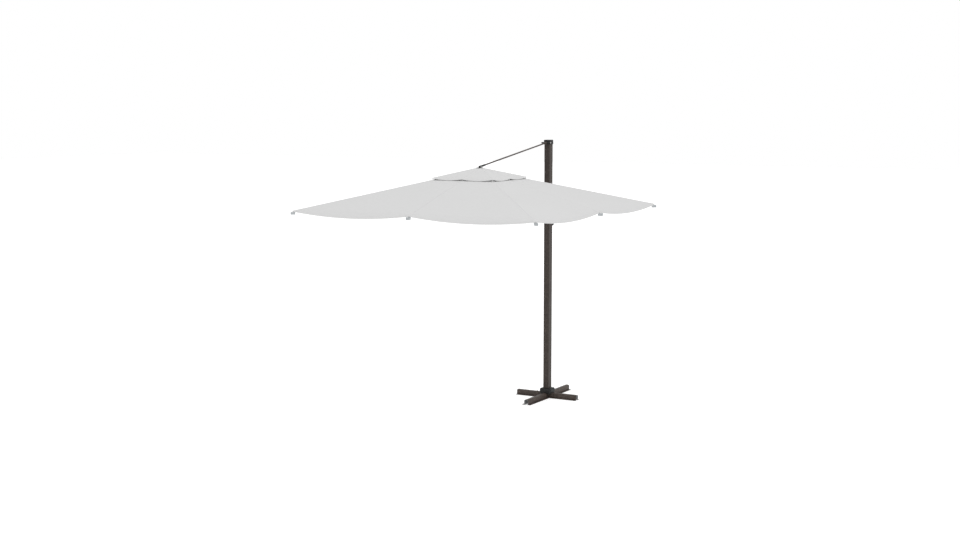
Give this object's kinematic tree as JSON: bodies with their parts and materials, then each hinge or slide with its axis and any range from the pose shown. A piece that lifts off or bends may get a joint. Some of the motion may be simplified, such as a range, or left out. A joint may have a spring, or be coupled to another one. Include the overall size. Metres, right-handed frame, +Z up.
{
  "type": "cantilever parasol",
  "caption": "Square cantilever parasol with a vented canopy, hung from a side mast by a stay and lower arms, on a cross base.",
  "frame": {"origin": "on the floor, under the mast's centre line", "axes": "+Z up, the canopy hangs towards -Y, +X to the mast's right seen from the canopy's far side"},
  "size_m": [2.752, 3.426, 2.888],
  "materials": {
    "frame_paint": "satin",
    "mast_paint": "satin",
    "casting": "matte",
    "cover_plastic": "matte",
    "black_plastic": "satin",
    "grey_plastic": "satin",
    "zinc": "satin",
    "rib_alu": "satin",
    "liner_plastic": "matte",
    "canopy_cloth": "matte"
  },
  "bodies": {
    "base": {"foot_right": "frame_paint", "foot_left": "frame_paint", "foot_back": "frame_paint", "foot_front": "frame_paint", "base_hub": "casting", "hub_cover": "cover_plastic", "base_bolts": "frame_paint", "mast_tube": "mast_paint", "mast_cap": "black_plastic", "stay_pin": "zinc"},
    "slider": {"slider_body": "black_plastic", "slider_liners": "liner_plastic", "slider_grip": "black_plastic", "arm_pin": "zinc"},
    "lever": {"lock_lever": "black_plastic"},
    "arms": {"arm_left": "frame_paint", "arm_right": "frame_paint"},
    "stay": {"stay_bar": "frame_paint", "stay_eye": "frame_paint", "stay_fork": "frame_paint", "cap_pin": "zinc"},
    "crown": {"crown_hub": "black_plastic", "crown_cap": "grey_plastic", "crown_pins": "zinc", "centre_tube": "rib_alu"},
    "runner": {"runner_hub": "black_plastic", "runner_pins": "zinc", "runner_axles": "zinc"},
    "ribset_right": {"rib_right": "rib_alu", "tip_right": "grey_plastic", "gore_right": "canopy_cloth"},
    "spread_right": {"spreader_right": "rib_alu"},
    "ribset_back_right": {"rib_back_right": "rib_alu", "tip_back_right": "grey_plastic", "gore_back_right": "canopy_cloth"},
    "spread_back_right": {"spreader_back_right": "rib_alu"},
    "ribset_back": {"rib_back": "rib_alu", "tip_back": "grey_plastic", "gore_back": "canopy_cloth"},
    "spread_back": {"spreader_back": "rib_alu"},
    "ribset_back_left": {"rib_back_left": "rib_alu", "tip_back_left": "grey_plastic", "gore_back_left": "canopy_cloth"},
    "spread_back_left": {"spreader_back_left": "rib_alu"},
    "ribset_left": {"rib_left": "rib_alu", "tip_left": "grey_plastic", "gore_left": "canopy_cloth"},
    "spread_left": {"spreader_left": "rib_alu"},
    "ribset_front_left": {"rib_front_left": "rib_alu", "tip_front_left": "grey_plastic", "gore_front_left": "canopy_cloth"},
    "spread_front_left": {"spreader_front_left": "rib_alu"},
    "ribset_front": {"rib_front": "rib_alu", "tip_front": "grey_plastic", "gore_front": "canopy_cloth"},
    "spread_front": {"spreader_front": "rib_alu"},
    "ribset_front_right": {"rib_front_right": "rib_alu", "tip_front_right": "grey_plastic", "gore_front_right": "canopy_cloth"},
    "spread_front_right": {"spreader_front_right": "rib_alu"}
  },
  "joints": [
    {"name": "handle_slide", "type": "slide", "parent": "base", "child": "slider", "axis": [0, 0, -1], "range_m": [0, 0.9404]},
    {"name": "lever_squeeze", "type": "hinge", "parent": "slider", "child": "lever", "pos_m": [0, 0.082, 2.101], "axis": [1, 0, 0], "range_deg": [0, 6.5], "stiffness_Nm_per_rad": 0.8, "springref_deg": -11.46},
    {"name": "arm_hinge", "type": "hinge", "parent": "slider", "child": "arms", "pos_m": [0, -0.082, 2.015], "axis": [-1, 0, 0], "range_deg": [0, 11.36]},
    {"name": "stay_hinge", "type": "hinge", "parent": "base", "child": "stay", "pos_m": [0, -0.06, 2.856], "axis": [1, 0, 0], "range_deg": [0, 12.55]},
    {"name": "crown_hinge", "type": "hinge", "parent": "stay", "child": "crown", "pos_m": [0, -1.535, 2.647], "axis": [-1, 0, 0], "range_deg": [0, 12.55]},
    {"name": "runner_slide", "type": "slide", "parent": "crown", "child": "runner", "axis": [0, 0, -1], "range_m": [0, 0.3455]},
    {"name": "rib_right_fold", "type": "hinge", "parent": "crown", "child": "ribset_right", "pos_m": [0.045, -1.542, 2.5925], "axis": [0, 1, 0], "range_deg": [0, 68.36], "deforming": ["gore_right"]},
    {"name": "spreader_right_fold", "type": "hinge", "parent": "runner", "child": "spread_right", "pos_m": [0.038, -1.533, 2.3175], "axis": [0, -1, 0], "range_deg": [0, 48.37]},
    {"name": "rib_back_right_fold", "type": "hinge", "parent": "crown", "child": "ribset_back_right", "pos_m": [0.03182, -1.51018, 2.5925], "axis": [-0.7071, 0.7071, 0], "range_deg": [0, 72.87], "deforming": ["gore_back_right"]},
    {"name": "spreader_back_right_fold", "type": "hinge", "parent": "runner", "child": "spread_back_right", "pos_m": [0.02051, -1.50877, 2.3175], "axis": [0.7071, -0.7071, 0], "range_deg": [0, 45.12]},
    {"name": "rib_back_fold", "type": "hinge", "parent": "crown", "child": "ribset_back", "pos_m": [0, -1.497, 2.5925], "axis": [-1, 0, 0], "range_deg": [0, 68.36], "deforming": ["gore_back"]},
    {"name": "spreader_back_fold", "type": "hinge", "parent": "runner", "child": "spread_back", "pos_m": [-0.009, -1.504, 2.3175], "axis": [1, 0, 0], "range_deg": [0, 48.37]},
    {"name": "rib_back_left_fold", "type": "hinge", "parent": "crown", "child": "ribset_back_left", "pos_m": [-0.03182, -1.51018, 2.5925], "axis": [-0.7071, -0.7071, 0], "range_deg": [0, 72.87], "deforming": ["gore_back_left"]},
    {"name": "spreader_back_left_fold", "type": "hinge", "parent": "runner", "child": "spread_back_left", "pos_m": [-0.03323, -1.52149, 2.3175], "axis": [0.7071, 0.7071, 0], "range_deg": [0, 45.12]},
    {"name": "rib_left_fold", "type": "hinge", "parent": "crown", "child": "ribset_left", "pos_m": [-0.045, -1.542, 2.5925], "axis": [0, -1, 0], "range_deg": [0, 68.36], "deforming": ["gore_left"]},
    {"name": "spreader_left_fold", "type": "hinge", "parent": "runner", "child": "spread_left", "pos_m": [-0.038, -1.551, 2.3175], "axis": [0, 1, 0], "range_deg": [0, 48.37]},
    {"name": "rib_front_left_fold", "type": "hinge", "parent": "crown", "child": "ribset_front_left", "pos_m": [-0.03182, -1.57382, 2.5925], "axis": [0.7071, -0.7071, 0], "range_deg": [0, 72.87], "deforming": ["gore_front_left"]},
    {"name": "spreader_front_left_fold", "type": "hinge", "parent": "runner", "child": "spread_front_left", "pos_m": [-0.02051, -1.57523, 2.3175], "axis": [-0.7071, 0.7071, 0], "range_deg": [0, 45.12]},
    {"name": "rib_front_fold", "type": "hinge", "parent": "crown", "child": "ribset_front", "pos_m": [0, -1.587, 2.5925], "axis": [1, 0, 0], "range_deg": [0, 68.36], "deforming": ["gore_front"]},
    {"name": "spreader_front_fold", "type": "hinge", "parent": "runner", "child": "spread_front", "pos_m": [0.009, -1.58, 2.3175], "axis": [-1, 0, 0], "range_deg": [0, 48.37]},
    {"name": "rib_front_right_fold", "type": "hinge", "parent": "crown", "child": "ribset_front_right", "pos_m": [0.03182, -1.57382, 2.5925], "axis": [0.7071, 0.7071, 0], "range_deg": [0, 72.87], "deforming": ["gore_front_right"]},
    {"name": "spreader_front_right_fold", "type": "hinge", "parent": "runner", "child": "spread_front_right", "pos_m": [0.03323, -1.56251, 2.3175], "axis": [-0.7071, -0.7071, 0], "range_deg": [0, 45.12]}
  ],
  "couplings": [
    {"joint": "arm_hinge", "follows": "handle_slide", "rad_per_m": 0.20986},
    {"joint": "stay_hinge", "follows": "handle_slide", "rad_per_m": 0.23199},
    {"joint": "crown_hinge", "follows": "handle_slide", "rad_per_m": 0.23199},
    {"joint": "runner_slide", "follows": "handle_slide", "ratio": 0.36686},
    {"joint": "rib_right_fold", "follows": "handle_slide", "rad_per_m": 1.2678},
    {"joint": "spreader_right_fold", "follows": "handle_slide", "rad_per_m": 0.89672},
    {"joint": "rib_back_right_fold", "follows": "handle_slide", "rad_per_m": 1.3515},
    {"joint": "spreader_back_right_fold", "follows": "handle_slide", "rad_per_m": 0.83644},
    {"joint": "rib_back_fold", "follows": "handle_slide", "rad_per_m": 1.2678},
    {"joint": "spreader_back_fold", "follows": "handle_slide", "rad_per_m": 0.89672},
    {"joint": "rib_back_left_fold", "follows": "handle_slide", "rad_per_m": 1.3515},
    {"joint": "spreader_back_left_fold", "follows": "handle_slide", "rad_per_m": 0.83644},
    {"joint": "rib_left_fold", "follows": "handle_slide", "rad_per_m": 1.2678},
    {"joint": "spreader_left_fold", "follows": "handle_slide", "rad_per_m": 0.89672},
    {"joint": "rib_front_left_fold", "follows": "handle_slide", "rad_per_m": 1.3515},
    {"joint": "spreader_front_left_fold", "follows": "handle_slide", "rad_per_m": 0.83644},
    {"joint": "rib_front_fold", "follows": "handle_slide", "rad_per_m": 1.2678},
    {"joint": "spreader_front_fold", "follows": "handle_slide", "rad_per_m": 0.89672},
    {"joint": "rib_front_right_fold", "follows": "handle_slide", "rad_per_m": 1.3515},
    {"joint": "spreader_front_right_fold", "follows": "handle_slide", "rad_per_m": 0.83644}
  ]
}
